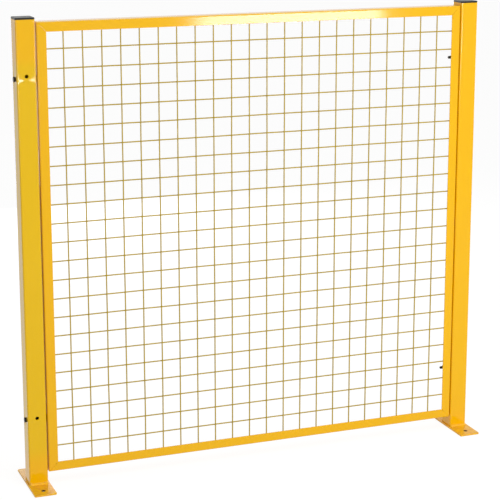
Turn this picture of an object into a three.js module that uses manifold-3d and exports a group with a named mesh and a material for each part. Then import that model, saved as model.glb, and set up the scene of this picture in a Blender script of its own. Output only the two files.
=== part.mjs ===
// Wire mesh partition panel bolted between two square tube posts.
// Millimetres, +Z up. X runs along the panel, -Y is the front.
// The origin is on the floor, under the middle of the panel and of the posts' depth.

import * as THREE from "three";
import { mergeVertices } from "three/addons/utils/BufferGeometryUtils.js";
import Module from "manifold-3d";

// ---------------------------------------------------------------- driving dimensions

const CLEARANCE = 0.3; // gap left between pieces that touch

const PANEL_WIDTH = 1206.5;
const PANEL_HEIGHT = 1206.5;
const PANEL_ABOVE_FLOOR = 36;

const ANGLE_FACE = 25.4; // the frame angle's leg that shows from the front
const ANGLE_DEPTH = 38.1; // its leg that runs backwards and takes the bolts
const ANGLE_THICKNESS = 2.7;
const ANGLE_BEND_RADIUS = 3.2; // outside of the bend

const WIRE_DIAMETER = 3.43;
const WIRE_PITCH = 50.8;
const WIRE_SINK = 0.35; // how far crossing wires melt into each other
const WIRE_SIDES = 6;
const MESH_EDGE_GAP = 4; // least space between the sheet's edge and the back leg

const POST_SIZE = 50.8;
const POST_WALL = 2.1;
const POST_CORNER_RADIUS = 4;
const POST_ABOVE_PANEL = 7.2; // how far the tube stands above the panel, without its cap

const PLATE_WIDTH = 60.3;
const PLATE_DEPTH = 203.2;
const PLATE_THICKNESS = 4.8;
const PLATE_CORNER_RADIUS = 4;
const ANCHOR_HOLE_DIAMETER = 11.1;
const ANCHOR_HOLE_TO_EDGE = 28;

const WELD_LEG = 5; // each leg of the fillet bead
const WELD_CREST = 0.8; // the bead's blunt edge
const WELD_LENGTH = 50.8;

const BOLT_DIAMETER = 7.94;
const BOLT_LENGTH = 76.2; // under the head
const BOLT_TO_PANEL_END = 146.05; // from the panel's top or bottom to the nearest bolt
const BOLT_HEAD_FLATS = 12.7;
const BOLT_HEAD_HEIGHT = 3.5; // as far as it stands out: a tightened head sits in a slight dent
const BOLT_TIP_CHAMFER = 1;
const NUT_FLATS = 12.7;
const NUT_HEIGHT = 6.7;
const WASHER_DIAMETER = 17.5;
const WASHER_THICKNESS = 1.6;
const SPACER_DIAMETER = 17.5;
const SPACER_THICKNESS = 2.6;
const BOLT_HOLE_PLAY = 0.76; // a hole's diameter over the bolt's

const CROSS_HOLED_SIDE = "left"; // only this post can take a second panel, set square to this one
const CROSS_HOLE_DIAMETER = 9.5; // its spare holes, in the front and back faces
const CROSS_HOLE_RISE = 9.5; // their height above the bolts, so that two bolts pass each other

const CAP_LIP = 5;
const CAP_EDGE_RADIUS = 1.6;
const CAP_PLUG_DEPTH = 20;
const CAP_PLUG_WALL = 2;
const CAP_RIB_COUNT = 3;
const CAP_RIB_HEIGHT = 1.6;
const CAP_RIB_REACH = 1.3; // from the plug's wall to the tube

// number of straight pieces in a round
const CORNER_STEPS = 5;
const BEND_STEPS = 5;
const HOLE_SIDES = 16;
const SHANK_SIDES = 14;
const WASHER_SIDES = 20;

// ---------------------------------------------------------------- places worked out from them

const PANEL_BOTTOM = PANEL_ABOVE_FLOOR;
const PANEL_CENTRE = PANEL_BOTTOM + PANEL_HEIGHT / 2;
const PANEL_TOP = PANEL_BOTTOM + PANEL_HEIGHT;

const POST_GAP = SPACER_THICKNESS + 2 * CLEARANCE;
const POST_INNER_X = PANEL_WIDTH / 2 + POST_GAP;
const POST_X = POST_INNER_X + POST_SIZE / 2;
const POST_OUTER_X = POST_INNER_X + POST_SIZE;
const POST_BOTTOM = PLATE_THICKNESS + CLEARANCE;
const POST_TOP = PANEL_TOP + POST_ABOVE_PANEL;
const POST_LENGTH = POST_TOP - POST_BOTTOM;

const FRAME_FRONT_Y = -POST_SIZE / 2; // the panel's face is flush with the posts
const MESH_FRONT_Y = FRAME_FRONT_Y + ANGLE_THICKNESS + CLEARANCE;

const BOLT_HOLE_DIAMETER = BOLT_DIAMETER + BOLT_HOLE_PLAY;
const BOLT_HEIGHTS = { upper: PANEL_TOP - BOLT_TO_PANEL_END, lower: PANEL_BOTTOM + BOLT_TO_PANEL_END };
const SIDES = { left: -1, right: 1 };

// ---------------------------------------------------------------- finishes

const finish = (color, roughness, metalness) =>
  new THREE.MeshStandardMaterial({ color, roughness, metalness });
const POWDER_COAT = () => finish(0xf2b90f, 0.35, 0);
const BLACK_PLASTIC = () => finish(0x151515, 0.45, 0);
const BLACK_STEEL = () => finish(0x1d1c1b, 0.45, 0.8);

// ---------------------------------------------------------------- solids: cutting and joining

const wasm = await Module();
wasm.setup();

function toSolid(geometry) {
  const bare = geometry.clone();
  bare.deleteAttribute("normal");
  bare.deleteAttribute("uv");
  const merged = mergeVertices(bare, 1e-4);
  return new wasm.Manifold(
    new wasm.Mesh({
      numProp: 3,
      vertProperties: new Float32Array(merged.attributes.position.array),
      triVerts: new Uint32Array(merged.index.array),
    }),
  );
}

function toGeometry(solid) {
  const mesh = solid.getMesh();
  const geometry = new THREE.BufferGeometry();
  geometry.setAttribute("position", new THREE.BufferAttribute(new Float32Array(mesh.vertProperties), 3));
  geometry.setIndex(new THREE.BufferAttribute(new Uint32Array(mesh.triVerts), 1));
  geometry.computeVertexNormals();
  return geometry;
}

const cut = (geometry, ...tools) =>
  toGeometry(tools.reduce((solid, tool) => solid.subtract(toSolid(tool)), toSolid(geometry)));
const join = (...geometries) =>
  toGeometry(geometries.map(toSolid).reduce((all, one) => all.add(one)));

// ---------------------------------------------------------------- small shapes

// A square with rounded corners, as points that run anticlockwise.
function roundedSquare(width, depth, radius) {
  const points = [];
  for (let corner = 0; corner < 4; corner += 1) {
    const signX = corner === 0 || corner === 3 ? 1 : -1;
    const signY = corner < 2 ? 1 : -1;
    for (let step = 0; step <= CORNER_STEPS; step += 1) {
      const angle = (corner + step / CORNER_STEPS) * (Math.PI / 2);
      points.push(
        new THREE.Vector2(
          signX * (width / 2 - radius) + radius * Math.cos(angle),
          signY * (depth / 2 - radius) + radius * Math.sin(angle),
        ),
      );
    }
  }
  return points;
}

// An outline raised along +Z from z = 0.
const raise = (points, height) =>
  new THREE.ExtrudeGeometry(new THREE.Shape(points), { depth: height, bevelEnabled: false, steps: 1 });

// A cylinder whose axis runs along X, Y or Z, centred on a point.
function rod(axis, diameter, length, centre) {
  const geometry = new THREE.CylinderGeometry(diameter / 2, diameter / 2, length, HOLE_SIDES);
  if (axis === "x") geometry.rotateZ(-Math.PI / 2);
  if (axis === "z") geometry.rotateX(Math.PI / 2);
  return geometry.translate(centre.x, centre.y, centre.z);
}

const at = (x, y, z) => new THREE.Vector3(x, y, z);

// A closed skin over rings that have equally many points; both end rings are flat and convex.
function loft(rings) {
  const size = rings[0].length;
  const positions = rings.flat().flatMap((point) => [point.x, point.y, point.z]);
  const index = [];
  for (let ring = 0; ring + 1 < rings.length; ring += 1) {
    for (let step = 0; step < size; step += 1) {
      const a = ring * size + step;
      const b = ring * size + ((step + 1) % size);
      index.push(a, b, b + size, a, b + size, a + size);
    }
  }
  const last = (rings.length - 1) * size;
  for (let step = 1; step + 1 < size; step += 1) {
    index.push(0, step + 1, step);
    index.push(last, last + step, last + step + 1);
  }
  const geometry = new THREE.BufferGeometry();
  geometry.setAttribute("position", new THREE.BufferAttribute(new Float32Array(positions), 3));
  geometry.setIndex(index);
  geometry.computeVertexNormals();
  return geometry;
}

const ringAt = (points, z) => points.map((point) => at(point.x, point.y, z));

// ---------------------------------------------------------------- assembly

const partition = new THREE.Group();

function add(name, geometry, material, parent = partition) {
  const mesh = new THREE.Mesh(geometry, material);
  mesh.name = name;
  parent.add(mesh);
  return mesh;
}

// ---------------------------------------------------------------- posts, plates, welds and caps

function postGeometry(crossHoled) {
  const tube = raise(roundedSquare(POST_SIZE, POST_SIZE, POST_CORNER_RADIUS), POST_LENGTH);
  const inside = POST_SIZE - 2 * POST_WALL;
  const bore = raise(
    roundedSquare(inside, inside, POST_CORNER_RADIUS - POST_WALL),
    POST_LENGTH + 2 * POST_SIZE,
  ).translate(0, 0, -POST_SIZE);
  const holes = [];
  for (const height of Object.values(BOLT_HEIGHTS)) {
    const z = height - POST_BOTTOM;
    holes.push(rod("x", BOLT_HOLE_DIAMETER, 2 * POST_SIZE, at(0, 0, z)));
    if (crossHoled) holes.push(rod("y", CROSS_HOLE_DIAMETER, 2 * POST_SIZE, at(0, 0, z + CROSS_HOLE_RISE)));
  }
  return cut(tube, bore, ...holes);
}

function basePlateGeometry() {
  const plate = raise(roundedSquare(PLATE_WIDTH, PLATE_DEPTH, PLATE_CORNER_RADIUS), PLATE_THICKNESS);
  const reach = PLATE_DEPTH / 2 - ANCHOR_HOLE_TO_EDGE;
  const hole = (y) => rod("z", ANCHOR_HOLE_DIAMETER, 4 * PLATE_THICKNESS, at(0, y, 0));
  return cut(plate, hole(-reach), hole(reach));
}

// A fillet bead along X, in the corner between a post's front face and its plate.
function weldGeometry() {
  const section = new THREE.Shape([
    new THREE.Vector2(0, 0),
    new THREE.Vector2(-WELD_LEG, 0),
    new THREE.Vector2(-WELD_LEG, WELD_CREST),
    new THREE.Vector2(-WELD_LEG / 2, (WELD_LEG + WELD_CREST) / 2),
    new THREE.Vector2(-WELD_CREST, WELD_LEG),
    new THREE.Vector2(0, WELD_LEG),
  ]);
  const bead = new THREE.ExtrudeGeometry(section, { depth: WELD_LENGTH, bevelEnabled: false, steps: 1 });
  // section X -> Y, section Y -> Z, extrusion -> X
  const turn = new THREE.Matrix4().makeBasis(at(0, 1, 0), at(0, 0, 1), at(1, 0, 0));
  return bead.applyMatrix4(turn).translate(-WELD_LENGTH / 2, 0, 0);
}

function capGeometry() {
  const inside = POST_SIZE - 2 * POST_WALL;
  const innerRadius = POST_CORNER_RADIUS - POST_WALL;
  const lipRings = [ringAt(roundedSquare(POST_SIZE, POST_SIZE, POST_CORNER_RADIUS), 0)];
  for (let step = 0; step <= 3; step += 1) {
    const angle = (step / 3) * (Math.PI / 2);
    const inset = CAP_EDGE_RADIUS * (1 - Math.cos(angle));
    const height = CAP_LIP - CAP_EDGE_RADIUS * (1 - Math.sin(angle));
    const size = POST_SIZE - 2 * inset;
    lipRings.push(ringAt(roundedSquare(size, size, POST_CORNER_RADIUS - inset), height));
  }
  const ribSize = inside - 2 * CLEARANCE;
  const plugSize = ribSize - 2 * CAP_RIB_REACH;
  const hollow = plugSize - 2 * CAP_PLUG_WALL;
  const overlap = 1; // how far the plug runs up into the lip before they are joined
  const plug = raise(roundedSquare(plugSize, plugSize, innerRadius), CAP_PLUG_DEPTH + overlap).translate(
    0,
    0,
    -CAP_PLUG_DEPTH,
  );
  const ribs = [];
  for (let rib = 0; rib < CAP_RIB_COUNT; rib += 1) {
    const z = -CAP_PLUG_DEPTH + (rib * (CAP_PLUG_DEPTH - CAP_RIB_HEIGHT)) / CAP_RIB_COUNT;
    ribs.push(raise(roundedSquare(ribSize, ribSize, innerRadius), CAP_RIB_HEIGHT).translate(0, 0, z));
  }
  const core = raise(roundedSquare(hollow, hollow, innerRadius), 2 * CAP_PLUG_DEPTH).translate(
    0,
    0,
    -2 * CAP_PLUG_DEPTH,
  );
  return cut(join(loft(lipRings), plug, ...ribs), core);
}

for (const [side, sign] of Object.entries(SIDES)) {
  const stand = new THREE.Group();
  stand.position.set(sign * POST_X, 0, 0);
  partition.add(stand);
  add(`${side}_base_plate`, basePlateGeometry(), POWDER_COAT(), stand);
  const tube = postGeometry(side === CROSS_HOLED_SIDE);
  add(`${side}_post`, tube, POWDER_COAT(), stand).position.z = POST_BOTTOM;
  const beadOut = POST_SIZE / 2 + CLEARANCE;
  add(`${side}_front_weld`, weldGeometry(), POWDER_COAT(), stand).position.set(0, -beadOut, POST_BOTTOM);
  const backWeld = add(`${side}_back_weld`, weldGeometry(), POWDER_COAT(), stand);
  backWeld.position.set(0, beadOut, POST_BOTTOM);
  backWeld.rotation.z = Math.PI;
  add(`${side}_post_cap`, capGeometry(), BLACK_PLASTIC(), stand).position.z = POST_TOP + CLEARANCE;
}

// ---------------------------------------------------------------- panel frame

// One side of the mitred frame. It lies along X with its back leg on top (+Z), its front on -Y
// and the outer corner of the bend at y = 0, z = 0. Both ends are cut at 45 degrees.
function frameSideGeometry(length) {
  const section = []; // y runs backwards, drop runs down from the outer edge
  for (let step = 0; step <= BEND_STEPS; step += 1) {
    const angle = (step / BEND_STEPS) * (Math.PI / 2);
    section.push({
      y: ANGLE_BEND_RADIUS * (1 - Math.sin(angle)),
      drop: ANGLE_BEND_RADIUS * (1 - Math.cos(angle)),
    });
  }
  section.push({ y: 0, drop: ANGLE_FACE });
  section.push({ y: ANGLE_THICKNESS, drop: ANGLE_FACE });
  section.push({ y: ANGLE_THICKNESS, drop: ANGLE_THICKNESS });
  section.push({ y: ANGLE_DEPTH, drop: ANGLE_THICKNESS });
  section.push({ y: ANGLE_DEPTH, drop: 0 });
  const outline = section.map(({ y, drop }) => new THREE.Vector2(y, -drop));
  const faces = THREE.ShapeUtils.triangulateShape(outline, []);
  const size = section.length;
  const positions = [];
  for (const end of [-1, 1]) {
    for (const { y, drop } of section) {
      const reach = length / 2 - drop - CLEARANCE / 2;
      positions.push(end * reach, y, -drop);
    }
  }
  const index = [];
  for (let step = 0; step < size; step += 1) {
    const next = (step + 1) % size;
    index.push(step, next, next + size, step, next + size, step + size);
  }
  for (const [a, b, c] of faces) {
    index.push(a, c, b);
    index.push(a + size, b + size, c + size);
  }
  const geometry = new THREE.BufferGeometry();
  geometry.setAttribute("position", new THREE.BufferAttribute(new Float32Array(positions), 3));
  geometry.setIndex(index);
  return geometry;
}

// Turns a frame side about Y so that its outer edge faces the given way, and sets it in place.
function placedSide(length, turn, x, z, holeHeights = []) {
  const side = frameSideGeometry(length);
  side.rotateY(turn);
  side.translate(x, FRAME_FRONT_Y, z);
  if (holeHeights.length === 0) return toGeometry(toSolid(side));
  const holes = holeHeights.map((height) =>
    rod("x", BOLT_HOLE_DIAMETER, 4 * ANGLE_THICKNESS, at(x, 0, height)),
  );
  return cut(side, ...holes);
}

const boltHeights = Object.values(BOLT_HEIGHTS);
add("frame_top_rail", placedSide(PANEL_WIDTH, 0, 0, PANEL_TOP), POWDER_COAT());
add("frame_bottom_rail", placedSide(PANEL_WIDTH, Math.PI, 0, PANEL_BOTTOM), POWDER_COAT());
for (const [side, sign] of Object.entries(SIDES)) {
  add(
    `frame_${side}_stile`,
    placedSide(PANEL_HEIGHT, sign * (Math.PI / 2), sign * (PANEL_WIDTH / 2), PANEL_CENTRE, boltHeights),
    POWDER_COAT(),
  );
}

// ---------------------------------------------------------------- wire mesh

// A welded sheet: upright wires in front, level wires behind, fused where they cross. Each wire
// is a prism with an edge towards the other layer, as thick in section as the round wire.
function wireMeshGeometry() {
  const roomX = PANEL_WIDTH / 2 - ANGLE_THICKNESS - MESH_EDGE_GAP;
  const roomZ = PANEL_HEIGHT / 2 - ANGLE_THICKNESS - MESH_EDGE_GAP;
  const radius = WIRE_DIAMETER / 2;
  const area = Math.PI * radius * radius;
  const edge = Math.sqrt((2 * area) / (WIRE_SIDES * Math.sin((2 * Math.PI) / WIRE_SIDES)));
  const frontY = MESH_FRONT_Y + edge;
  const backY = frontY + 2 * edge - WIRE_SINK;
  // wires lie half a pitch either side of the middle, out to the last that has room
  const placesIn = (room) => {
    const pairs = Math.floor((room - radius) / WIRE_PITCH + 0.5);
    return Array.from({ length: 2 * pairs }, (_, wire) => (wire - pairs + 0.5) * WIRE_PITCH);
  };
  // a wire along Y, with edges towards +Z and -Z
  const prism = (length) => new THREE.CylinderGeometry(edge, edge, length, WIRE_SIDES);
  const upright = (x) => prism(2 * roomZ).rotateX(Math.PI / 2).translate(x, frontY, 0);
  const level = (z) => prism(2 * roomX).rotateX(Math.PI / 2).rotateY(Math.PI / 2).translate(0, backY, z);
  const uprights = placesIn(roomX).map((x) => toSolid(upright(x)));
  const levels = placesIn(roomZ).map((z) => toSolid(level(z)));
  return toGeometry(wasm.Manifold.union([...uprights, ...levels]));
}

add("wire_mesh", wireMeshGeometry(), POWDER_COAT()).position.z = PANEL_CENTRE;

// ---------------------------------------------------------------- bolts, spacers, washers and nuts

// A hexagonal prism along X, from x = 0 to its height.
function hexPrism(flats, height) {
  const corner = flats / Math.sqrt(3);
  const hex = new THREE.CylinderGeometry(corner, corner, height, 6);
  return hex.rotateZ(-Math.PI / 2).translate(height / 2, 0, 0);
}

// The bolt lies along X: head from 0 outwards to +X, shank towards -X.
function boltGeometry() {
  const radius = BOLT_DIAMETER / 2;
  const inHead = BOLT_HEAD_HEIGHT / 2;
  const profile = [
    new THREE.Vector2(0, -BOLT_LENGTH),
    new THREE.Vector2(radius - BOLT_TIP_CHAMFER, -BOLT_LENGTH),
    new THREE.Vector2(radius, -BOLT_LENGTH + BOLT_TIP_CHAMFER),
    new THREE.Vector2(radius, inHead),
    new THREE.Vector2(0, inHead),
  ];
  const shank = new THREE.LatheGeometry(profile, SHANK_SIDES).rotateZ(-Math.PI / 2);
  return join(hexPrism(BOLT_HEAD_FLATS, BOLT_HEAD_HEIGHT), shank);
}

// A flat ring along X, from x = 0 to its thickness.
function ringGeometry(outer, inner, thickness) {
  const profile = [
    new THREE.Vector2(inner / 2, 0),
    new THREE.Vector2(outer / 2, 0),
    new THREE.Vector2(outer / 2, thickness),
    new THREE.Vector2(inner / 2, thickness),
    new THREE.Vector2(inner / 2, 0),
  ];
  return toGeometry(toSolid(new THREE.LatheGeometry(profile, WASHER_SIDES).rotateZ(-Math.PI / 2)));
}

function nutGeometry() {
  const bore = rod("x", BOLT_DIAMETER + 2 * CLEARANCE, 4 * NUT_HEIGHT, at(0, 0, 0));
  return cut(hexPrism(NUT_FLATS, NUT_HEIGHT), bore);
}

// Each row runs inwards from the post's outer face, along the outward direction of its side.
for (const [side, sign] of Object.entries(SIDES)) {
  for (const [level, height] of Object.entries(BOLT_HEIGHTS)) {
    const row = new THREE.Group();
    row.position.set(0, 0, height);
    row.rotation.z = sign > 0 ? 0 : Math.PI;
    partition.add(row);
    const name = `${level}_${side}`;
    const legInner = PANEL_WIDTH / 2 - ANGLE_THICKNESS;
    const washerX = legInner - CLEARANCE - WASHER_THICKNESS;
    const nutX = washerX - CLEARANCE - NUT_HEIGHT;
    const ring = (outer, thickness) => ringGeometry(outer, BOLT_HOLE_DIAMETER, thickness);
    add(`${name}_bolt`, boltGeometry(), BLACK_STEEL(), row).position.x = POST_OUTER_X + CLEARANCE;
    add(`${name}_spacer`, ring(SPACER_DIAMETER, SPACER_THICKNESS), BLACK_STEEL(), row).position.x =
      PANEL_WIDTH / 2 + CLEARANCE;
    add(`${name}_washer`, ring(WASHER_DIAMETER, WASHER_THICKNESS), BLACK_STEEL(), row).position.x = washerX;
    add(`${name}_nut`, nutGeometry(), BLACK_STEEL(), row).position.x = nutX;
  }
}

export default partition;
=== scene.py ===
"""Looks of a wire mesh partition panel that is bolted between two square tube posts.

Shapes are written in millimetres in the row frame: X runs along the panel, -Y is the front and
Z is up. solid() turns them into metres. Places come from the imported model, sizes are named here.
"""

import math
import random

import bmesh
import bpy
from mathutils import Matrix, Vector


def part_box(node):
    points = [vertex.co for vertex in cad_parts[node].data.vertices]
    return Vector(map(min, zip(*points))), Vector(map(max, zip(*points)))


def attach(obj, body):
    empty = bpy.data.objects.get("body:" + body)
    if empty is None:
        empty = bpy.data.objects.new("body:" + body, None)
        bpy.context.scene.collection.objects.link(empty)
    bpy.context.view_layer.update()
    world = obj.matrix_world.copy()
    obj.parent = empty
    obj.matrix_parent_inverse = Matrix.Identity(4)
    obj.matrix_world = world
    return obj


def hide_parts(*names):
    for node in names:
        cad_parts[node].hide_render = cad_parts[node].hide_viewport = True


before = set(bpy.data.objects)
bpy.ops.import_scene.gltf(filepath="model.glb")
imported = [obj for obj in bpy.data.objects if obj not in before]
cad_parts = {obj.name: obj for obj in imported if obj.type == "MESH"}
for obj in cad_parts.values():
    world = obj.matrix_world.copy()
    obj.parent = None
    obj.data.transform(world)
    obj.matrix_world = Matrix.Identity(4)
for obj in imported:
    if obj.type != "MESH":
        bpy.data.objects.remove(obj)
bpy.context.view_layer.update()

# ---------------------------------------------------------------- sizes and places, in millimetres

MM = 0.001
SIDES = {"left": -1, "right": 1}
ENDS = {"front": -1, "back": 1}


def node_box(node):
    """A node's lowest and highest corner, in millimetres."""
    low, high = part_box(node)
    return low / MM, high / MM


post_low, post_high = node_box("right_post")
POST_SIZE = post_high.x - post_low.x
POST_X = (post_low.x + post_high.x) / 2
POST_WALL = 2.1
POST_CORNER_RADIUS = 4

plate_low, plate_high = node_box("right_base_plate")
PLATE_CORNER_RADIUS = 4
PLATE_EDGE_RADIUS = 0.9  # a sheared edge under its coat
ANCHOR_HOLE_DIAMETER = 11.1
ANCHOR_HOLE_TO_EDGE = 28

top_low, top_high = node_box("frame_top_rail")
bottom_low, bottom_high = node_box("frame_bottom_rail")
PANEL_WIDTH = 2 * node_box("frame_right_stile")[1].x
PANEL_BOTTOM = bottom_low.z
PANEL_TOP = top_high.z
PANEL_HEIGHT = PANEL_TOP - PANEL_BOTTOM
PANEL_CENTRE = (PANEL_TOP + PANEL_BOTTOM) / 2
FRAME_FRONT_Y = top_low.y
ANGLE_FACE = top_high.z - top_low.z
ANGLE_DEPTH = top_high.y - top_low.y
ANGLE_THICKNESS = 2.7
ANGLE_BEND_RADIUS = 3.2
ANGLE_EDGE_RADIUS = 0.5
MITRE_GAP = 0.3
MITRE_GROOVE = 0.5  # the mitre's edges, broken before it was welded

mesh_low, mesh_high = node_box("wire_mesh")
WIRE_DIAMETER = 3.43
WIRE_PITCH = 50.8
WIRE_SINK = 0.35

BOLT_HEIGHTS = {
    level: sum(corner.z for corner in node_box(f"{level}_right_nut")) / 2 for level in ("upper", "lower")
}
BOLT_DIAMETER = 7.94
BOLT_HOLE_DIAMETER = 8.7
CROSS_HOLED_SIDE = "left"
CROSS_HOLE_DIAMETER = 9.5
CROSS_HOLE_RISE = 9.5

CRISP_EDGE = math.radians(35)  # edges sharper than this stay crisp
CORNER_STEPS = 8
EDGE_STEPS = 4
HOLE_SIDES = 32

# ---------------------------------------------------------------- meshes


def rounded(corners, flat_steps=1):
    """An outline through corners (x, y, radius), each side between them cut in flat_steps."""
    arcs = []
    for index, (x, y, radius) in enumerate(corners):
        here = Vector((x, y))
        before = (Vector(corners[index - 1][:2]) - here).normalized()
        after = (Vector(corners[(index + 1) % len(corners)][:2]) - here).normalized()
        half = before.angle(after) / 2
        centre = here + (before + after).normalized() * radius / math.sin(half)
        reach = radius / math.tan(half)
        start = here + before * reach - centre
        end = here + after * reach - centre
        shares = [step / CORNER_STEPS for step in range(CORNER_STEPS + 1)]
        arcs.append([centre + radius * start.slerp(end, share) for share in shares])
    points = []
    for index, arc in enumerate(arcs):
        following = arcs[(index + 1) % len(arcs)][0]
        points += arc
        points += [arc[-1].lerp(following, step / flat_steps) for step in range(1, flat_steps)]
    return points


def rounded_square(width, depth, radius, flat_steps=1):
    x, y = width / 2, depth / 2
    return rounded([(x, y, radius), (-x, y, radius), (-x, -y, radius), (x, -y, radius)], flat_steps)


def inset(outline, distance):
    """The same outline drawn in on itself."""
    moved = []
    for index, point in enumerate(outline):
        along = outline[(index + 1) % len(outline)] - outline[index - 1]
        moved.append(point + Vector((-along.y, along.x)).normalized() * distance)
    return moved


def skin(rings, looped=False):
    """Faces over rings of equally many points, closed at both ends or looped back to the first."""
    size = len(rings[0])
    count = len(rings)
    vertices = [Vector(point) for ring in rings for point in ring]
    faces = []
    for ring in range(count if looped else count - 1):
        here = ring * size
        there = (ring + 1) % count * size
        for step in range(size):
            after = (step + 1) % size
            faces.append((here + step, here + after, there + after, there + step))
    if not looped:
        faces.append(tuple(range(size)))
        faces.append(tuple(range((count - 1) * size, count * size)))
    return vertices, faces


def angles_round(sides):
    return [2 * math.pi * side / sides for side in range(sides)]


def turned(profile, sides, looped=False):
    """A shape turned about X, from points (radius, x)."""
    rings = []
    for radius, along in profile:
        ring = [(along, radius * math.cos(angle), radius * math.sin(angle)) for angle in angles_round(sides)]
        rings.append(ring)
    return skin(rings, looped)


def together(shapes):
    """Several shapes as one list of vertices and faces."""
    vertices, faces = [], []
    for shape_vertices, shape_faces in shapes:
        start = len(vertices)
        vertices += shape_vertices
        faces += [tuple(start + corner for corner in face) for face in shape_faces]
    return vertices, faces


def solid(name, shape, placing=Matrix.Identity(4)):
    """An object in metres from a shape in millimetres, with its faces pointing out."""
    vertices, faces = shape
    mesh = bpy.data.meshes.new(name)
    mesh.from_pydata([placing @ vertex * MM for vertex in vertices], [], faces)
    work = bmesh.new()
    work.from_mesh(mesh)
    bmesh.ops.recalc_face_normals(work, faces=work.faces)
    work.to_mesh(mesh)
    work.free()
    made = bpy.data.objects.new(name, mesh)
    bpy.context.scene.collection.objects.link(made)
    return made


def settle(piece):
    """Replaces a piece's mesh by what its modifiers make of it."""
    depsgraph = bpy.context.evaluated_depsgraph_get()
    mesh = bpy.data.meshes.new_from_object(piece.evaluated_get(depsgraph))
    before = piece.data
    piece.modifiers.clear()
    piece.data = mesh
    bpy.data.meshes.remove(before)
    mesh.name = piece.name


def combine(piece, operation, *tools, solver="EXACT"):
    """Cuts, joins or intersects a piece with tools, which are used up."""
    for tool in tools:
        step = piece.modifiers.new("combine", "BOOLEAN")
        step.operation = operation
        step.solver = solver
        step.object = tool
    settle(piece)
    for tool in tools:
        bpy.data.objects.remove(tool)


def quarter_round(radius, steps):
    """How far in and how far up a rounded edge lies, from the flat face's end to the side's."""
    angles = [step / steps * math.pi / 2 for step in range(steps + 1)]
    return [(radius * (1 - math.sin(angle)), radius * (1 - math.cos(angle))) for angle in angles]


def plain_cutter(diameter, half_length):
    return turned([(diameter / 2, -half_length), (diameter / 2, half_length)], HOLE_SIDES)


def hole_cutter(diameter, half_length, rim=0.8):
    """A drill through both walls at x = -half_length and half_length, with softened rims outside."""
    radius = diameter / 2
    profile = [(radius + 3 * rim, -half_length - 2 * rim)]
    profile += [(radius + wider, -half_length + up) for wider, up in quarter_round(rim, EDGE_STEPS)]
    profile += [(reach, -along) for reach, along in reversed(profile)]
    return turned(profile, HOLE_SIDES)


ALONG = {  # turns for a cutter, which is made along X
    "y": Matrix.Rotation(math.pi / 2, 4, "Z"),
    "z": Matrix.Rotation(-math.pi / 2, 4, "Y"),
}


def at(x, y, z):
    return Matrix.Translation((x, y, z))


def fit(piece, finish, slot, *nodes):
    """Smooth shading with crisp edges, the finish, and the piece's place in the frame."""
    piece.data.shade_smooth()
    piece.data.set_sharp_from_angle(angle=CRISP_EDGE)
    weighting = piece.modifiers.new("weighting", "WEIGHTED_NORMAL")
    weighting.keep_sharp = True
    settle(piece)
    piece.data.materials.clear()
    piece.data.materials.append(finish)
    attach(piece, "root")
    if nodes:
        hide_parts(*nodes)
    return piece


# ---------------------------------------------------------------- materials: tools


def linear(code):
    """An sRGB hex colour as linear RGBA."""
    parts = [int(code[place:place + 2], 16) / 255 for place in (0, 2, 4)]
    parts = [part / 12.92 if part <= 0.04045 else ((part + 0.055) / 1.055) ** 2.4 for part in parts]
    return (*parts, 1)


def per_metre(millimetres):
    """A texture's scale that gives features of this size."""
    return 1000 / millimetres


def new_material(name):
    material = bpy.data.materials.new(name)
    material.use_nodes = True
    material.node_tree.nodes.clear()
    return material, material.node_tree


def add(tree, kind, inputs=None, **settings):
    """Adds a node with its settings and its inputs, each a value or another node's output."""
    node = tree.nodes.new(kind)
    for name, value in settings.items():
        setattr(node, name, value)
    for name, value in (inputs or {}).items():
        if isinstance(value, bpy.types.NodeSocket):
            tree.links.new(value, node.inputs[name])
        else:
            node.inputs[name].default_value = value
    return node


# ---------------------------------------------------------------- materials: powder coat

YELLOW = "F7BF00"
WARM_YELLOW = "F8B900"
LEMON_YELLOW = "EFC000"
COAT_SPECULAR = 0.34  # under 0.5: a pigmented coat that mirrors its white surroundings only faintly
ORANGE_PEEL = 7  # a real coat ripples every 2 to 3 mm; drawn coarser, or it would not show
TONE_PATCH = 160
NIB_SPACING = 26
PAINTED_REFLECTION_TOP = (1.12, 1.16)  # metres up the post, from the lemon middle to the top's painted warm reflection
PAINTED_REFLECTION_FOOT = (0.06, 0.115)  # and from the foot's painted reflection of the orange plate to the lemon middle


def coat_relief(tree, place, peel_height, nib_height):
    """Orange peel, with a few nibs of dust under the coat."""
    peel = add(tree, "ShaderNodeTexNoise", {"Vector": place, "Scale": per_metre(ORANGE_PEEL), "Detail": 2})
    rippled = add(
        tree, "ShaderNodeBump", {"Height": peel.outputs["Fac"], "Strength": 1, "Distance": peel_height * MM}
    )
    nibs = add(tree, "ShaderNodeTexVoronoi", {"Vector": place, "Scale": per_metre(NIB_SPACING)})
    nib = add(
        tree, "ShaderNodeMapRange",
        {"Value": nibs.outputs["Distance"], "From Min": 0.0, "From Max": 0.03, "To Min": 1, "To Max": 0},
    )
    return add(
        tree, "ShaderNodeBump",
        {
            "Height": nib.outputs["Result"], "Strength": 1, "Distance": nib_height * MM,
            "Normal": rippled.outputs["Normal"],
        },
    ).outputs["Normal"]


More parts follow.
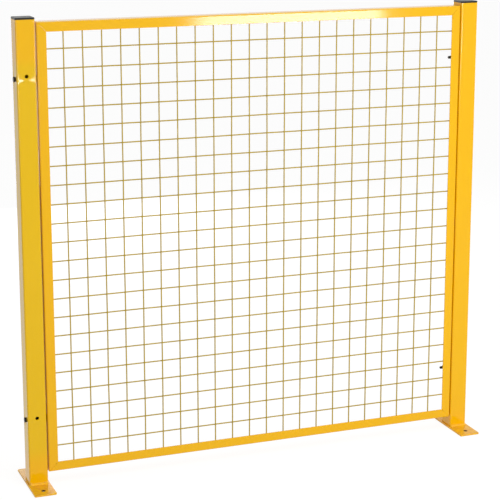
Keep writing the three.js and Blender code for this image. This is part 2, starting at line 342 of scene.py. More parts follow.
def lemon_between_painted_reflections(tree, place, tone):
    """The tone of the coat, turned to lemon between a post's top and foot, whose warmer tone is a painted
    reflection.
    """
    height = add(tree, "ShaderNodeSeparateXYZ", {"Vector": place}).outputs["Z"]
    shares = []
    for (low, high), at_low, at_high in ((PAINTED_REFLECTION_TOP, 1, 0), (PAINTED_REFLECTION_FOOT, 0, 1)):
        share = add(
            tree, "ShaderNodeMapRange",
            {"Value": height, "From Min": low, "From Max": high, "To Min": at_low, "To Max": at_high},
            interpolation_type="SMOOTHSTEP",
        )
        shares.append(share.outputs["Result"])
    middle = add(tree, "ShaderNodeMath", {0: shares[0], 1: shares[1]}, operation="MULTIPLY").outputs[0]
    return add(
        tree, "ShaderNodeMix", {"Factor": middle, "A": tone, "B": linear(LEMON_YELLOW)}, data_type="RGBA"
    ).outputs["Result"]


def gloss_powder_coat(name, painted_warm_reflections=False):
    """Polyester powder on steel tube, sprayed and baked to a gloss: even, wet-looking, slightly rippled."""
    material, tree = new_material(name)
    place = add(tree, "ShaderNodeTexCoord").outputs["Object"]
    patches = add(tree, "ShaderNodeTexNoise", {"Vector": place, "Scale": per_metre(TONE_PATCH), "Detail": 3})
    colour = add(
        tree, "ShaderNodeMix",
        {"Factor": patches.outputs["Fac"], "A": linear(YELLOW), "B": linear(WARM_YELLOW)},
        data_type="RGBA",
    ).outputs["Result"]
    # painted reflection: the post's top and foot are coloured warmer than its middle
    if painted_warm_reflections:
        colour = lemon_between_painted_reflections(tree, place, colour)
    gloss = add(
        tree, "ShaderNodeMapRange",
        {"Value": patches.outputs["Fac"], "From Min": 0.3, "From Max": 0.7, "To Min": 0.07, "To Max": 0.1},
    ).outputs["Result"]
    surface = add(
        tree, "ShaderNodeBsdfPrincipled",
        {
            "Base Color": colour, "Roughness": gloss, "IOR": 1.45, "Specular IOR Level": COAT_SPECULAR,
            "Normal": coat_relief(tree, place, 0.012, 0.05),
        },
    )
    add(tree, "ShaderNodeOutputMaterial", {"Surface": surface.outputs["BSDF"]})
    return material


def painted_shade_in_anchor_hole(tree, place):
    """1 on the walls of the plates' anchor holes, which are coloured dark brown as painted shade in the
    holes, 0 elsewhere.
    """
    sides = add(tree, "ShaderNodeSeparateXYZ", {"Vector": place})
    off_axis = []
    for axis, centre in (("X", POST_X), ("Y", plate_high.y - ANCHOR_HOLE_TO_EDGE)):
        away = add(tree, "ShaderNodeMath", {0: sides.outputs[axis]}, operation="ABSOLUTE").outputs[0]
        shifted = add(tree, "ShaderNodeMath", {0: away, 1: centre * MM}, operation="SUBTRACT")
        off_axis.append(shifted.outputs[0])
    flat = add(tree, "ShaderNodeCombineXYZ", {"X": off_axis[0], "Y": off_axis[1]}).outputs["Vector"]
    radius = add(tree, "ShaderNodeVectorMath", {0: flat}, operation="LENGTH").outputs["Value"]
    wall = ANCHOR_HOLE_DIAMETER / 2
    return add(
        tree, "ShaderNodeMapRange",
        {
            "Value": radius, "From Min": (wall + 0.1) * MM, "From Max": (wall + 0.6) * MM,
            "To Min": 1, "To Max": 0,
        },
    ).outputs["Result"]


def coat_over_rough_plate(name):
    """The same powder over flame-scaled plate and weld spatter: duller, mottled and more orange."""
    material, tree = new_material(name)
    place = add(tree, "ShaderNodeTexCoord").outputs["Object"]
    mottle = add(tree, "ShaderNodeTexNoise", {"Vector": place, "Scale": per_metre(9), "Detail": 5})
    blotch = add(
        tree, "ShaderNodeMapRange",
        {"Value": mottle.outputs["Fac"], "From Min": 0.38, "From Max": 0.66},
    ).outputs["Result"]
    colour = add(
        tree, "ShaderNodeMix",
        {"Factor": blotch, "A": linear("FCC41C"), "B": linear("EDAC30")},
        data_type="RGBA",
    ).outputs["Result"]
    # painted shade: the anchor holes' walls are coloured dark brown
    colour = add(
        tree, "ShaderNodeMix",
        {"Factor": painted_shade_in_anchor_hole(tree, place), "A": colour, "B": linear("3A2614")},
        data_type="RGBA",
    ).outputs["Result"]
    surface = add(
        tree, "ShaderNodeBsdfPrincipled",
        {
            "Base Color": colour, "Roughness": 0.28, "IOR": 1.45, "Specular IOR Level": COAT_SPECULAR,
            "Normal": coat_relief(tree, place, 0.05, 0.15),
        },
    )
    add(tree, "ShaderNodeOutputMaterial", {"Surface": surface.outputs["BSDF"]})
    return material


def coat_on_wire_with_painted_shade(name):
    """The coat on drawn and spot-welded wire, coloured darker and greener than on the tube as painted shade
    for the thin wires' shaded sides.
    """
    material, tree = new_material(name)
    place = add(tree, "ShaderNodeTexCoord").outputs["Object"]
    wire_tone_patches = add(tree, "ShaderNodeTexNoise", {"Vector": place, "Scale": per_metre(40), "Detail": 3})
    # both tones are darker and greener than the tube's coat: painted shade on the wires
    colour = add(
        tree, "ShaderNodeMix",
        {"Factor": wire_tone_patches.outputs["Fac"], "A": linear("C0A006"), "B": linear("B29816")},
        data_type="RGBA",
    ).outputs["Result"]
    surface = add(
        tree, "ShaderNodeBsdfPrincipled",
        {
            "Base Color": colour, "Roughness": 0.3, "IOR": 1.45, "Specular IOR Level": COAT_SPECULAR,
            "Normal": coat_relief(tree, place, 0.02, 0.05),
        },
    )
    add(tree, "ShaderNodeOutputMaterial", {"Surface": surface.outputs["BSDF"]})
    return material


# ---------------------------------------------------------------- materials: plastic and steel


def moulded_polyethylene(name):
    """Black polyethylene from a polished mould: a waxy black with a fine leathery grain."""
    material, tree = new_material(name)
    place = add(tree, "ShaderNodeTexCoord").outputs["Object"]
    grain = add(tree, "ShaderNodeTexNoise", {"Vector": place, "Scale": per_metre(0.9), "Detail": 2})
    relief = add(
        tree, "ShaderNodeBump", {"Height": grain.outputs["Fac"], "Strength": 0.4, "Distance": 0.05 * MM}
    )
    dust = add(tree, "ShaderNodeTexNoise", {"Vector": place, "Scale": per_metre(14), "Detail": 4})
    colour = add(
        tree, "ShaderNodeMix",
        {"Factor": dust.outputs["Fac"], "A": linear("0B0D0B"), "B": linear("161A16")},
        data_type="RGBA",
    ).outputs["Result"]
    gloss = add(
        tree, "ShaderNodeMapRange",
        {"Value": dust.outputs["Fac"], "From Min": 0.3, "From Max": 0.7, "To Min": 0.3, "To Max": 0.42},
    ).outputs["Result"]
    surface = add(
        tree, "ShaderNodeBsdfPrincipled",
        {
            "Base Color": colour, "Roughness": gloss, "IOR": 1.51, "Specular IOR Level": 0.25,
            "Normal": relief.outputs["Normal"],
        },
    )
    add(tree, "ShaderNodeOutputMaterial", {"Surface": surface.outputs["BSDF"]})
    return material


def black_oxide_steel(name):
    """Machined steel with a hot black oxide and a film of oil: a dark metal with brownish cloud."""
    material, tree = new_material(name)
    place = add(tree, "ShaderNodeTexCoord").outputs["Object"]
    cloud = add(tree, "ShaderNodeTexNoise", {"Vector": place, "Scale": per_metre(4), "Detail": 4})
    colour = add(
        tree, "ShaderNodeMix",
        {"Factor": cloud.outputs["Fac"], "A": linear("2B2A2A"), "B": linear("3A342E")},
        data_type="RGBA",
    ).outputs["Result"]
    sheen = add(
        tree, "ShaderNodeMapRange",
        {"Value": cloud.outputs["Fac"], "From Min": 0.3, "From Max": 0.7, "To Min": 0.32, "To Max": 0.5},
    ).outputs["Result"]
    tooling = add(tree, "ShaderNodeTexNoise", {"Vector": place, "Scale": per_metre(0.6), "Detail": 1})
    relief = add(
        tree, "ShaderNodeBump", {"Height": tooling.outputs["Fac"], "Strength": 0.5, "Distance": 0.03 * MM}
    )
    surface = add(
        tree, "ShaderNodeBsdfPrincipled",
        {"Base Color": colour, "Metallic": 0.85, "Roughness": sheen, "Normal": relief.outputs["Normal"]},
    )
    add(tree, "ShaderNodeOutputMaterial", {"Surface": surface.outputs["BSDF"]})
    return material


FRAME_COAT = gloss_powder_coat("powder_coat_on_angle")
# the left post's coat carries the painted warm reflections at its top and foot
POST_COATS = {"left": gloss_powder_coat("powder_coat_on_tube", painted_warm_reflections=True), "right": FRAME_COAT}
PLATE_COAT = coat_over_rough_plate("powder_coat_on_plate")
WIRE_COAT = coat_on_wire_with_painted_shade("powder_coat_on_wire")
CAP_PLASTIC = moulded_polyethylene("moulded_polyethylene")
BOLT_STEEL = black_oxide_steel("black_oxide_steel")

# ---------------------------------------------------------------- posts

DENT_REACH = 11  # how far up and down a tightened bolt draws the tube's walls
DENT_ROWS = 16
DENT_ROW_GAP = 1.75
DENT_COLUMNS = 16
HEAD_DENT = 1.8  # under the bolt's head, on the post's outer side
SPACER_DENT = 0.5  # under the spacer, on the panel's side
CROSS_HOLE_BULGE = 0.75  # the share of the bulge that is left at the cross holes' rims
FRONT_BULGE = {"left": 0.8, "right": 0.3}  # more where cross holes weaken the tube's front and back


def squeezed(point, height, side):
    """A point of the tube's wall where tightened bolts draw the sides in and bow front and back out."""
    half = POST_SIZE / 2
    near = sum(math.exp(-(((height - bolt) / DENT_REACH) ** 2)) for bolt in BOLT_HEIGHTS.values())
    middle_x = math.cos(math.pi / 2 * min(1, abs(point.x) / half)) ** 2
    middle_y = math.cos(math.pi / 2 * min(1, abs(point.y) / half)) ** 2
    dent = HEAD_DENT if point.x * SIDES[side] > 0 else SPACER_DENT
    x = point.x * (1 - dent * near * middle_y / half)
    y = point.y * (1 + FRONT_BULGE[side] * near * middle_x / half)
    return Vector((x, y, height))


def tube_rows():
    """Heights of the tube's rings, close together about the bolts."""
    rows = {post_low.z, post_high.z}
    for bolt in BOLT_HEIGHTS.values():
        rows |= {bolt + step * DENT_ROW_GAP for step in range(-DENT_ROWS, DENT_ROWS + 1)}
    return sorted(rows)


def tube_shape(side):
    inside = POST_SIZE - 2 * POST_WALL
    outer = rounded_square(POST_SIZE, POST_SIZE, POST_CORNER_RADIUS, DENT_COLUMNS)
    inner = rounded_square(inside, inside, POST_CORNER_RADIUS - POST_WALL, DENT_COLUMNS)
    rings = [[squeezed(point, row, side) for point in outer] for row in tube_rows()]
    rings += [[squeezed(point, row, side) for point in inner] for row in reversed(tube_rows())]
    return skin(rings, looped=True)


def make_post(side, x):
    post = solid(f"{side}_square_tube", tube_shape(side), at(x, 0, 0))
    drills = []
    for level, height in BOLT_HEIGHTS.items():
        drill = plain_cutter(BOLT_HOLE_DIAMETER, POST_SIZE)
        drills.append(solid(f"{level}_bolt_drill", drill, at(x, 0, height)))
        if side == CROSS_HOLED_SIDE:
            cross = hole_cutter(CROSS_HOLE_DIAMETER, POST_SIZE / 2 + FRONT_BULGE[side] * CROSS_HOLE_BULGE)
            placing = at(x, 0, height + CROSS_HOLE_RISE) @ ALONG["y"]
            drills.append(solid(f"{level}_cross_drill", cross, placing))
    combine(post, "DIFFERENCE", *drills)
    fit(post, POST_COATS[side], "powder_coat", f"{side}_post")


# ---------------------------------------------------------------- base plates


def plate_shape():
    width = plate_high.x - plate_low.x
    depth = plate_high.y - plate_low.y
    thickness = plate_high.z - plate_low.z
    lower_edge = quarter_round(PLATE_EDGE_RADIUS, EDGE_STEPS)
    levels = lower_edge + [(drawn_in, thickness - height) for drawn_in, height in reversed(lower_edge)]
    rings = []
    for drawn_in, height in levels:
        outline = rounded_square(width - 2 * drawn_in, depth - 2 * drawn_in, PLATE_CORNER_RADIUS - drawn_in)
        rings.append([(point.x, point.y, height) for point in outline])
    return skin(rings)


def make_base_plate(side, x):
    plate = solid(f"{side}_floor_plate", plate_shape(), at(x, 0, 0))
    thickness = plate_high.z - plate_low.z
    drills = []
    for end, way in ENDS.items():
        y = way * (plate_high.y - ANCHOR_HOLE_TO_EDGE)
        drill = hole_cutter(ANCHOR_HOLE_DIAMETER, thickness / 2)
        drills.append(solid(f"{end}_anchor_drill", drill, at(x, y, thickness / 2) @ ALONG["z"]))
    combine(plate, "DIFFERENCE", *drills)
    fit(plate, PLATE_COAT, "powder_coat", f"{side}_base_plate")


# ---------------------------------------------------------------- weld beads

RIPPLE_GAP = 3.2
WELD_SINK = 0.4  # how far a bead melts into what it joins
BEAD_ROW_GAP = 0.8
BEAD_SLOTS = 9  # points across the bead's face


def bead_shape(length, leg, seed):
    """A fillet bead along X in the corner between a wall at y = 0 and a floor at z = 0, facing -Y."""
    wander = random.Random(seed)
    rows = round(length / BEAD_ROW_GAP)
    phase = wander.uniform(0, RIPPLE_GAP)
    drift = [wander.uniform(-0.06, 0.06) for _ in range(rows + 1)]
    rings = []
    for row in range(rows + 1):
        along = length * row / rows
        to_end = min(along, length - along)
        rounding = math.sqrt(max(0.02, 1 - max(0, 1 - to_end / (0.8 * leg)) ** 2))
        blob = 0.22 * math.exp(-(((to_end - 0.7 * leg) / (0.6 * leg)) ** 2))
        ring = [(along, WELD_SINK, -WELD_SINK)]
        for slot in range(BEAD_SLOTS):
            angle = math.pi / 2 * slot / (BEAD_SLOTS - 1)
            flat = 1 / (math.cos(angle) + math.sin(angle))
            ripple = math.cos(2 * math.pi * (along + phase + 1.2 * math.sin(2 * angle)) / RIPPLE_GAP)
            crown = 0.55 * flat + 0.45
            reach = leg * crown * rounding * (0.95 + blob + 0.05 * ripple + drift[row] * math.sin(2 * angle))
            y = WELD_SINK - (reach + WELD_SINK) * math.cos(angle)
            z = (reach + WELD_SINK) * math.sin(angle) - WELD_SINK
            ring.append((along, y, z))
        rings.append(ring)
    return skin(rings)


def make_foot_weld(side, end, x, seed):
    low, high = node_box(f"{side}_{end}_weld")
    length = high.x - low.x
    leg = high.z - low.z
    turn = Matrix.Identity(4) if end == "front" else Matrix.Rotation(math.pi, 4, "Z")
    wall = ENDS[end] * POST_SIZE / 2
    placing = at(x, wall, plate_high.z) @ turn @ at(-length / 2, 0, 0)
    bead = solid(f"{side}_{end}_foot_bead", bead_shape(length, leg, seed), placing)
    fit(bead, PLATE_COAT, "powder_coat", f"{side}_{end}_weld")


# ---------------------------------------------------------------- post caps

CAP_EDGE_RADIUS = 1.6
CAP_PLUG_DEPTH = 20
CAP_PLUG_WALL = 2
CAP_RIBS = 3
CAP_RIB_HEIGHT = 1.6
CAP_RIB_REACH = 1.3
CAP_CROWN = 0.25
CAP_CLEARANCE = 0.3  # under the lip and round the ribs
CAP_LIP_CHAMFER = 0.3


def cap_shape():
    """Rounded squares from the crown out over the lip, down the ribbed plug and up its hollow."""
    lip_bottom = post_high.z + CAP_CLEARANCE
    top = node_box("right_post_cap")[1].z
    half = POST_SIZE / 2
    tube = half - POST_WALL - CAP_CLEARANCE
    plug = tube - CAP_RIB_REACH
    levels = [(half * 0.35, top), (half * 0.7, top - CAP_CROWN * 0.4)]
    upper_edge = quarter_round(CAP_EDGE_RADIUS, 6)
    levels += [(half - drawn_in, top - CAP_CROWN - down) for drawn_in, down in upper_edge]
    levels += [(half, lip_bottom + CAP_LIP_CHAMFER), (half - CAP_LIP_CHAMFER, lip_bottom), (plug, lip_bottom)]
    foot = lip_bottom - CAP_PLUG_DEPTH
    for rib in reversed(range(CAP_RIBS)):
        low = foot + rib * (CAP_PLUG_DEPTH - CAP_RIB_HEIGHT) / CAP_RIBS
        levels += [(plug, low + CAP_RIB_HEIGHT), (tube, low + 0.7 * CAP_RIB_HEIGHT), (plug + 0.2, low)]
    hollow = plug - CAP_PLUG_WALL
    levels += [(hollow, foot), (hollow, lip_bottom - 1)]
    rings = []
    for half_size, height in levels:
        radius = POST_CORNER_RADIUS * half_size / half
        rings.append([(p.x, p.y, height) for p in rounded_square(2 * half_size, 2 * half_size, radius)])
    return skin(rings)


def make_post_cap(side, x):
    cap = solid(f"{side}_tube_cap", cap_shape(), at(x, 0, 0))
    fit(cap, CAP_PLASTIC, "cap_plastic", f"{side}_post_cap")


# ---------------------------------------------------------------- panel frame


def angle_section():
    """The bent angle seen from its end: x runs backwards, y up from the flange's inner edge."""
    return rounded(
        [
            (0, 0, ANGLE_BEND_RADIUS),
            (0, -ANGLE_FACE, ANGLE_EDGE_RADIUS),
            (ANGLE_THICKNESS, -ANGLE_FACE, ANGLE_EDGE_RADIUS),
            (ANGLE_THICKNESS, -ANGLE_THICKNESS, ANGLE_BEND_RADIUS - ANGLE_THICKNESS),
            (ANGLE_DEPTH, -ANGLE_THICKNESS, ANGLE_EDGE_RADIUS),
            (ANGLE_DEPTH, 0, ANGLE_EDGE_RADIUS),
        ]
    )


def frame_side_shape(length):
    """One side of the frame along X, its back leg on top, both ends mitred with a small groove."""
    full = angle_section()
    broken = inset(full, MITRE_GROOVE)
    rings = []
    for end, outline, back in ((-1, broken, 0), (-1, full, 1), (1, full, 1), (1, broken, 0)):
        ring = []
        for point, true in zip(outline, full):
            reach = length / 2 + true.y - MITRE_GAP / 2 - back * MITRE_GROOVE
            ring.append((end * reach, point.x, point.y))
        rings.append(ring)
    return skin(rings)


def make_frame_side(node, length, turn, x, z, drilled):
    placing = at(x, FRAME_FRONT_Y, z) @ Matrix.Rotation(turn, 4, "Y")
    side = solid(node.replace("frame", "angle"), frame_side_shape(length), placing)
    if drilled:
        drill = plain_cutter(BOLT_HOLE_DIAMETER, 10)
        drills = [solid(f"{level}_drill", drill, at(x, 0, BOLT_HEIGHTS[level])) for level in BOLT_HEIGHTS]
        combine(side, "DIFFERENCE", *drills)
    fit(side, FRAME_COAT, "powder_coat", node)


def make_frame():
    make_frame_side("frame_top_rail", PANEL_WIDTH, 0, 0, PANEL_TOP, False)
    make_frame_side("frame_bottom_rail", PANEL_WIDTH, math.pi, 0, PANEL_BOTTOM, False)
    for side, way in SIDES.items():
        x = way * PANEL_WIDTH / 2
        make_frame_side(f"frame_{side}_stile", PANEL_HEIGHT, way * math.pi / 2, x, PANEL_CENTRE, True)


CORNER_BEAD_LEG = 3.2
CORNER_BEAD_SHORT = 1.5  # how far a bead stops short of the angle's ends


def make_corner_welds():
    """A bead inside each mitred corner, along the two back legs."""
    length = ANGLE_DEPTH - ANGLE_THICKNESS - 2 * CORNER_BEAD_SHORT
    for side, way in SIDES.items():
        for level, up in (("upper", 1), ("lower", -1)):
            x = way * (PANEL_WIDTH / 2 - ANGLE_THICKNESS)
            z = PANEL_CENTRE + up * (PANEL_HEIGHT / 2 - ANGLE_THICKNESS)
            # the bead's length runs back along Y, its legs run in along X and Z
            turn = Matrix(((0, way, 0, 0), (1, 0, 0, 0), (0, 0, -up, 0), (0, 0, 0, 1)))
            placing = at(x, FRAME_FRONT_Y + ANGLE_THICKNESS + CORNER_BEAD_SHORT, z) @ turn
            seed = 10 + 2 * (way > 0) + (up > 0)
            bead = solid(f"{level}_{side}_corner_bead", bead_shape(length, CORNER_BEAD_LEG, seed), placing)
            fit(bead, FRAME_COAT, "powder_coat")


# ---------------------------------------------------------------- wire mesh

WIRE_SIDES = 12
WIRE_BOW = 0.45  # how far a drawn wire strays from straight
NUGGET = (2.3, 1.7, 2.3)  # half sizes of the melted metal at a crossing
TACK = (2.6, 1.9, 2.6)
TACK_FROM_EDGE = 8  # from the frame's inner edge out to a tack, which the face hides


def wire_places(room):
    """Wires lie half a pitch either side of the middle, out to the last that has room."""
    pairs = math.floor((room - WIRE_DIAMETER / 2) / WIRE_PITCH + 0.5)
    return [(wire - pairs + 0.5) * WIRE_PITCH for wire in range(2 * pairs)]


def stray(seed):
    """How far one wire strays from its line, as a function of the place along it."""
    wander = random.Random(seed)
    waves = [(wander.uniform(0.3, 1), wander.uniform(180, 520), wander.uniform(0, 6.3)) for _ in range(3)]

    def line(along):
        total = sum(high * math.sin(along / gap * 6.28 + turn) for high, gap, turn in waves)
        return WIRE_BOW * total / 3

    return line


def wire_shape(place, line, half_length, upright, y):
    """A round wire that keeps to its line, upright along Z or level along X."""
    rows = 2 * round(half_length / WIRE_PITCH * 2)
    rings = []
    for row in range(rows + 1):
        along = half_length * (2 * row / rows - 1)
        ring = []
        for angle in angles_round(WIRE_SIDES):
            across = place + line(along) + WIRE_DIAMETER / 2 * math.cos(angle)
            depth = y + WIRE_DIAMETER / 2 * math.sin(angle)
            ring.append((across, depth, along) if upright else (along, depth, across))
        rings.append(ring)
    return skin(rings)


def nugget_shape(centre, half_sizes):
    """A small blob of melted metal."""
    profile = [(math.sin(math.pi * step / 6), math.cos(math.pi * step / 6)) for step in range(1, 6)]
    vertices, faces = turned(profile, 10)
    scale = Matrix.Diagonal((*half_sizes, 1))
    return [at(*centre) @ scale @ vertex for vertex in vertices], faces


def make_wire_mesh():
    half_x = (mesh_high.x - mesh_low.x) / 2
    half_z = (mesh_high.z - mesh_low.z) / 2
    front_y = mesh_low.y + WIRE_DIAMETER / 2
    back_y = front_y + WIRE_DIAMETER - WIRE_SINK
    uprights = [(x, stray(100 + index)) for index, x in enumerate(wire_places(half_x))]
    levels = [(z, stray(200 + index)) for index, z in enumerate(wire_places(half_z))]
    placing = at(0, 0, PANEL_CENTRE)
    sheet = solid(
        "welded_wire_sheet",
        together([wire_shape(x, line, half_z, True, front_y) for x, line in uprights]),
        placing,
    )
    level_wires = together([wire_shape(z, line, half_x, False, back_y) for z, line in levels])
    nuggets = []
    for x, upright_line in uprights:
        for z, level_line in levels:
            centre = (x + upright_line(z), (front_y + back_y) / 2, z + level_line(x))
            nuggets.append(nugget_shape(centre, NUGGET))
    tack_y = mesh_low.y - 0.2
    edge = PANEL_HEIGHT / 2 - ANGLE_FACE + TACK_FROM_EDGE
    for x, line in uprights[1::3]:
        nuggets += [nugget_shape((x + line(z), tack_y, z), TACK) for z in (-edge, edge)]
    for x, line in (uprights[0], uprights[-1]):
        heights = [z + WIRE_PITCH / 2 for z, _ in levels[1:-1:4]]
        nuggets += [nugget_shape((x + line(z), tack_y, z), TACK) for z in heights]
    tools = [
        solid("level_wires", level_wires, placing),
        solid("nuggets", together(nuggets), placing),
    ]
    combine(sheet, "UNION", *tools, solver="MANIFOLD")
    fit(sheet, WIRE_COAT, "powder_coat", "wire_mesh")


# ---------------------------------------------------------------- bolts, spacers, washers and nuts

HEX_FLATS = 12.7
THREAD_PITCH = 1.41  # 18 threads to the inch
THREAD_LENGTH = 22
THREAD_DEPTH = 0.75
THREAD_SIDES = 24
THREAD_SLICES = 8  # rings to one turn of the thread
TIP_CHAMFER = 1.2
FLANGE_SINK = 2  # the head's washer face reaches down into the dent in the tube


def hex_with_chamfers(name, low, high, bore, placing):
    """A hexagon bar piece along X from low to high, its corners turned off at the ends it shows."""
    corner = HEX_FLATS / math.sqrt(3)
    face = HEX_FLATS / 2 * 0.97
    drop = (corner + 0.5 - face) * math.tan(math.radians(30))
    profile = [(face, low), (corner + 0.5, low + drop), (corner + 0.5, high - drop), (face, high)]
    if bore:
        profile += [(bore + 0.5, high), (bore, high - 0.5), (bore, low + 0.5), (bore + 0.5, low)]
    block = solid(name, turned(profile, 48, looped=bool(bore)), placing)
    bar = solid("bar", turned([(corner, low - 1), (corner, high + 1)], 6), placing)
    combine(block, "INTERSECT", bar)
    return block


def threaded_shank_shape(length, inside_head):
    """A shank from inside the head to its threaded, chamfered tip at x = -length."""
    radius = BOLT_DIAMETER / 2
    angles = angles_round(THREAD_SIDES)
    rings = []
    for row in range(round(THREAD_LENGTH / THREAD_PITCH * THREAD_SLICES) + 1):
        from_tip = THREAD_PITCH * row / THREAD_SLICES
        ring = []
        for side, angle in enumerate(angles):
            wave = (from_tip / THREAD_PITCH - side / THREAD_SIDES) % 1
            groove = THREAD_DEPTH * (1 - abs(2 * wave - 1)) * min(1, (THREAD_LENGTH - from_tip) / 2)
            tip = min(0, from_tip - TIP_CHAMFER)
            reach = radius - groove + tip * 0.8
            ring.append((from_tip - length, reach * math.cos(angle), reach * math.sin(angle)))
        rings.append(ring)
    rings.append([(inside_head, radius * math.cos(angle), radius * math.sin(angle)) for angle in angles])
    return skin(rings)


def ring_shape(outer, inner, low, high):
    """A punched ring along X with its edges just broken."""
    edge = 0.25
    profile = [(outer - edge, low), (outer, low + edge), (outer, high - edge), (outer - edge, high)]
    profile += [(inner + edge, high), (inner, high - edge), (inner, low + edge), (inner + edge, low)]
    return turned(profile, 40, looped=True)


def outward(side, height):
    """The placing of a bolt's pieces: +X points out of the panel on this side."""
    turn = Matrix.Identity(4) if SIDES[side] > 0 else Matrix.Rotation(math.pi, 4, "Z")
    return at(0, 0, height) @ turn


def out_span(node, side):
    """A node's nearest and farthest place from the panel's middle, along X."""
    low, high = node_box(node)
    return (low.x, high.x) if SIDES[side] > 0 else (-high.x, -low.x)


def make_bolt_row(level, side):
    name = f"{level}_{side}"
    placing = outward(side, BOLT_HEIGHTS[level])
    twist = Matrix.Rotation(math.radians(17 + 31 * len(name)), 4, "X")
    tip, head_top = out_span(f"{name}_bolt", side)
    head_bottom = POST_X + POST_SIZE / 2 + 0.3
    bolt = hex_with_chamfers(f"{name}_hex_bolt", head_bottom, head_top, None, placing @ twist)
    flange = turned([(HEX_FLATS / 2, head_bottom - FLANGE_SINK), (HEX_FLATS / 2, head_bottom + 1)], 48)
    shank = threaded_shank_shape(head_bottom - tip, 1)
    combine(
        bolt, "UNION",
        solid("flange", flange, placing),
        solid("shank", shank, placing @ at(head_bottom, 0, 0)),
        solver="MANIFOLD",
    )
    fit(bolt, BOLT_STEEL, "black_steel", f"{name}_bolt")
    low, high = out_span(f"{name}_nut", side)
    bore = BOLT_DIAMETER / 2 + 0.3
    nut = hex_with_chamfers(f"{name}_hex_nut", low, high, bore, placing @ twist @ twist)
    fit(nut, BOLT_STEEL, "black_steel", f"{name}_nut")
    for kind, made in (("washer", "flat_washer"), ("spacer", "gap_spacer")):
        low, high = out_span(f"{name}_{kind}", side)
        box_low, box_high = node_box(f"{name}_{kind}")
        outer = (box_high.z - box_low.z) / 2
        ring = solid(f"{name}_{made}", ring_shape(outer, BOLT_HOLE_DIAMETER / 2, low, high), placing)
        fit(ring, BOLT_STEEL, "black_steel", f"{name}_{kind}")


# ---------------------------------------------------------------- assembly

for side, way in SIDES.items():
    post_x = way * POST_X
    make_base_plate(side, post_x)
    make_post(side, post_x)
    make_post_cap(side, post_x)
    for order, end in enumerate(ENDS):
        make_foot_weld(side, end, post_x, 2 * (way > 0) + order)
make_frame()
make_corner_welds()
make_wire_mesh()
for side in SIDES:
    for level in BOLT_HEIGHTS:
        make_bolt_row(level, side)

# ---------------------------------------------------------------- studio

FLOOR_SIZE = 80  # metres
FLOOR_DROP = 0.2  # millimetres under the plates, so that the two faces don't share a place
PAPER_LEVEL = 0.88
WORLD_LEVEL = 0.45
SOFTBOXES = [  # name, place, aim, width, height, radiance
    ("overhead_softbox", (0.4, -1.2, 3.3), (0.1, 0, 0.3), 2.2, 2.2, 1.6),
    # mirrored in the top rail as its cream highlight
    ("front_softbox", (1.215, -2.75, 0.93), (1.215, 0, 0.93), 0.9, 0.34, 25),
    ("left_softbox", (-2.9, -4.4, 0.5), (-0.6, 0, 0.5), 2.2, 0.9, 4.6),
    ("right_softbox", (3.4, 0.8, 0.9), (0.6, 0, 0.7), 1.4, 0.9, 4),
    ("back_softbox", (0, 3.4, 0.6), (0, 0, 0.6), 1.8, 1, 4.5),
    # mirrored in the left post as the two pale spots beside its upper cross hole
    ("left_lobe_box", (-0.34, -2.75, 0.7), (-0.6, 0, 1.1), 0.2, 0.16, 36),
    ("right_lobe_box", (0.36, -2.75, 0.7), (-0.6, 0, 1.1), 0.2, 0.16, 36),
]


def seen_or_mirrored(tree):
    """1 for the rays that show the surroundings, 0 for those that light the object."""
    rays = add(tree, "ShaderNodeLightPath")
    seen = rays.outputs["Is Camera Ray"]
    for kind in ("Is Glossy Ray", "Is Transmission Ray"):
        seen = add(tree, "ShaderNodeMath", {0: seen, 1: rays.outputs[kind]}, operation="MAXIMUM").outputs[0]
    return seen


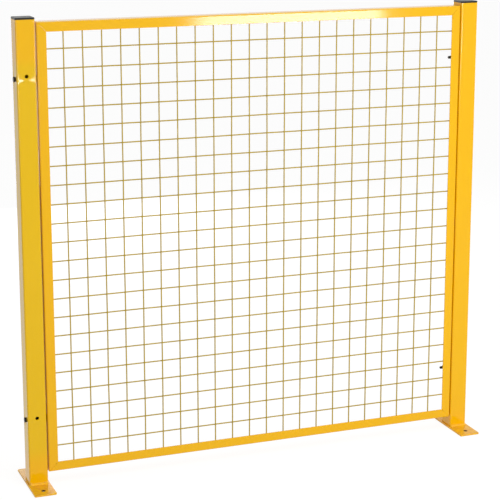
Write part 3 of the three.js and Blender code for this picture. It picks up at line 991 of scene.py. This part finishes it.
def white_studio_floor():
    """A pale floor that the camera sees as white paper, darker only where the object shades it."""
    material, tree = new_material("white_studio_floor")
    lit = add(tree, "ShaderNodeBsdfDiffuse", {"Color": (0.75, 0.75, 0.75, 1)}).outputs[0]
    shaded = add(tree, "ShaderNodeBsdfDiffuse", {"Color": (0.2, 0.2, 0.2, 1)}).outputs[0]
    paper = add(tree, "ShaderNodeEmission", {"Color": (1, 1, 1, 1), "Strength": PAPER_LEVEL}).outputs[0]
    white = add(tree, "ShaderNodeAddShader", {0: shaded, 1: paper}).outputs[0]
    shown = add(tree, "ShaderNodeMixShader", {0: seen_or_mirrored(tree), 1: lit, 2: white}).outputs[0]
    add(tree, "ShaderNodeOutputMaterial", {"Surface": shown})
    return material


def make_floor():
    half = FLOOR_SIZE / 2 / MM
    corners = [(-half, -half), (half, -half), (half, half), (-half, half)]
    floor = solid("studio_floor", ([Vector((x, y, -FLOOR_DROP)) for x, y in corners], [(0, 1, 2, 3)]))
    floor.data.materials.append(white_studio_floor())


def make_world(level):
    """Soft light from all round; the camera and reflections see white paper."""
    world = bpy.data.worlds.new("white_room")
    world.use_nodes = True
    tree = world.node_tree
    tree.nodes.clear()
    fill = add(tree, "ShaderNodeBackground", {"Color": (1, 1, 1, 1), "Strength": level}).outputs[0]
    white = add(tree, "ShaderNodeBackground", {"Color": (1, 1, 1, 1), "Strength": 1}).outputs[0]
    shown = add(tree, "ShaderNodeMixShader", {0: seen_or_mirrored(tree), 1: fill, 2: white}).outputs[0]
    add(tree, "ShaderNodeOutputWorld", {"Surface": shown})
    bpy.context.scene.world = world


def make_softbox(name, place, aim, width, height, radiance):
    """An area lamp whose surface has this radiance, where 1 is white."""
    lamp = bpy.data.lights.new(name, "AREA")
    lamp.shape = "RECTANGLE"
    lamp.size = width
    lamp.size_y = height
    lamp.energy = radiance * math.pi * width * height
    box = bpy.data.objects.new(name, lamp)
    box.location = place
    box.rotation_euler = (Vector(aim) - Vector(place)).to_track_quat("-Z", "Y").to_euler()
    box.visible_camera = False
    bpy.context.scene.collection.objects.link(box)


def make_camera():
    """Eye height a little above the panel, left of it; a long lens from 4.4 m away."""
    lens = bpy.data.cameras.new("camera")
    lens.sensor_width = 36
    lens.lens = 116.1
    lens.shift_y = -0.08
    camera = bpy.data.objects.new("camera", lens)
    camera.location = (-1.5572, -4.0235, 1.6661)
    camera.rotation_euler = (math.radians(77.418), math.radians(0.031), math.radians(-20.969))
    bpy.context.scene.collection.objects.link(camera)
    bpy.context.scene.camera = camera


make_floor()
make_world(WORLD_LEVEL)
for softbox in SOFTBOXES:
    make_softbox(*softbox)
make_camera()

scene = bpy.context.scene
scene.view_settings.view_transform = "Standard"
